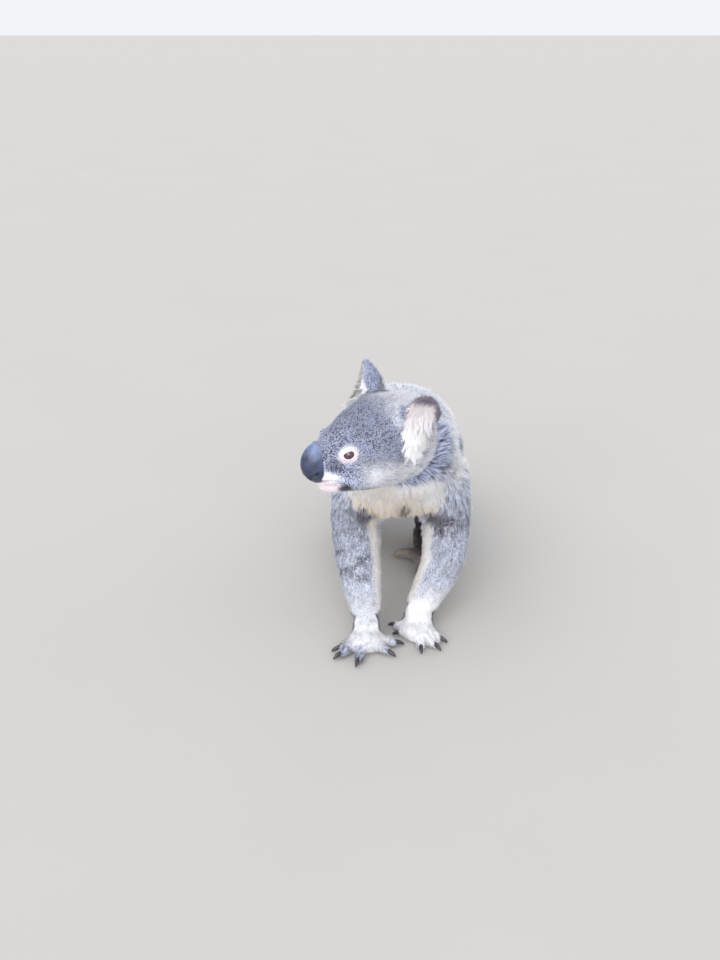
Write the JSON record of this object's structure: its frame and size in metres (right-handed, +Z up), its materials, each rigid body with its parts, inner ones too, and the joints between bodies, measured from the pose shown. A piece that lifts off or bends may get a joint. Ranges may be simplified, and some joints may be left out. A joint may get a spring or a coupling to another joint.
{
  "type": "koala",
  "caption": "Life-size still model of a standing koala on all fours, head turned to its right, with round furry ears, a large dark nose and clawed hands and feet",
  "frame": {"origin": "on the floor under the middle of the animal's outline", "axes": "+Z up, the animal faces -Y, its left side is +X, metres"},
  "size_m": [0.2252, 0.4994, 0.3847],
  "materials": {
    "coat": "short, dense, finely grizzled grey fur, paler underneath",
    "nose": "smooth black leathery skin with a soft sheen",
    "eye": "wet, glossy dark brown",
    "claw": "smooth black horn"
  },
  "bodies": {
    "root": {"head": "coat", "jaw": "coat", "neck": "coat", "chest": "coat", "belly": "coat", "rump": "coat", "ear_left": "coat", "ear_right": "coat", "upper_arm_left": "coat", "upper_arm_right": "coat", "forearm_left": "coat", "forearm_right": "coat", "hand_left": "coat", "hand_right": "coat", "thigh_left": "coat", "thigh_right": "coat", "shin_left": "coat", "shin_right": "coat", "foot_left": "coat", "foot_right": "coat", "nose": "nose", "eye_left": "eye", "eye_right": "eye", "claw_hand_left_1": "claw", "claw_hand_left_2": "claw", "claw_hand_left_3": "claw", "claw_hand_left_4": "claw", "claw_hand_left_5": "claw", "claw_hand_right_1": "claw", "claw_hand_right_2": "claw", "claw_hand_right_3": "claw", "claw_hand_right_4": "claw", "claw_hand_right_5": "claw", "claw_foot_left_2": "claw", "claw_foot_left_3": "claw", "claw_foot_left_4": "claw", "claw_foot_left_5": "claw", "claw_foot_right_2": "claw", "claw_foot_right_3": "claw", "claw_foot_right_4": "claw", "claw_foot_right_5": "claw"}
  },
  "joints": []
}
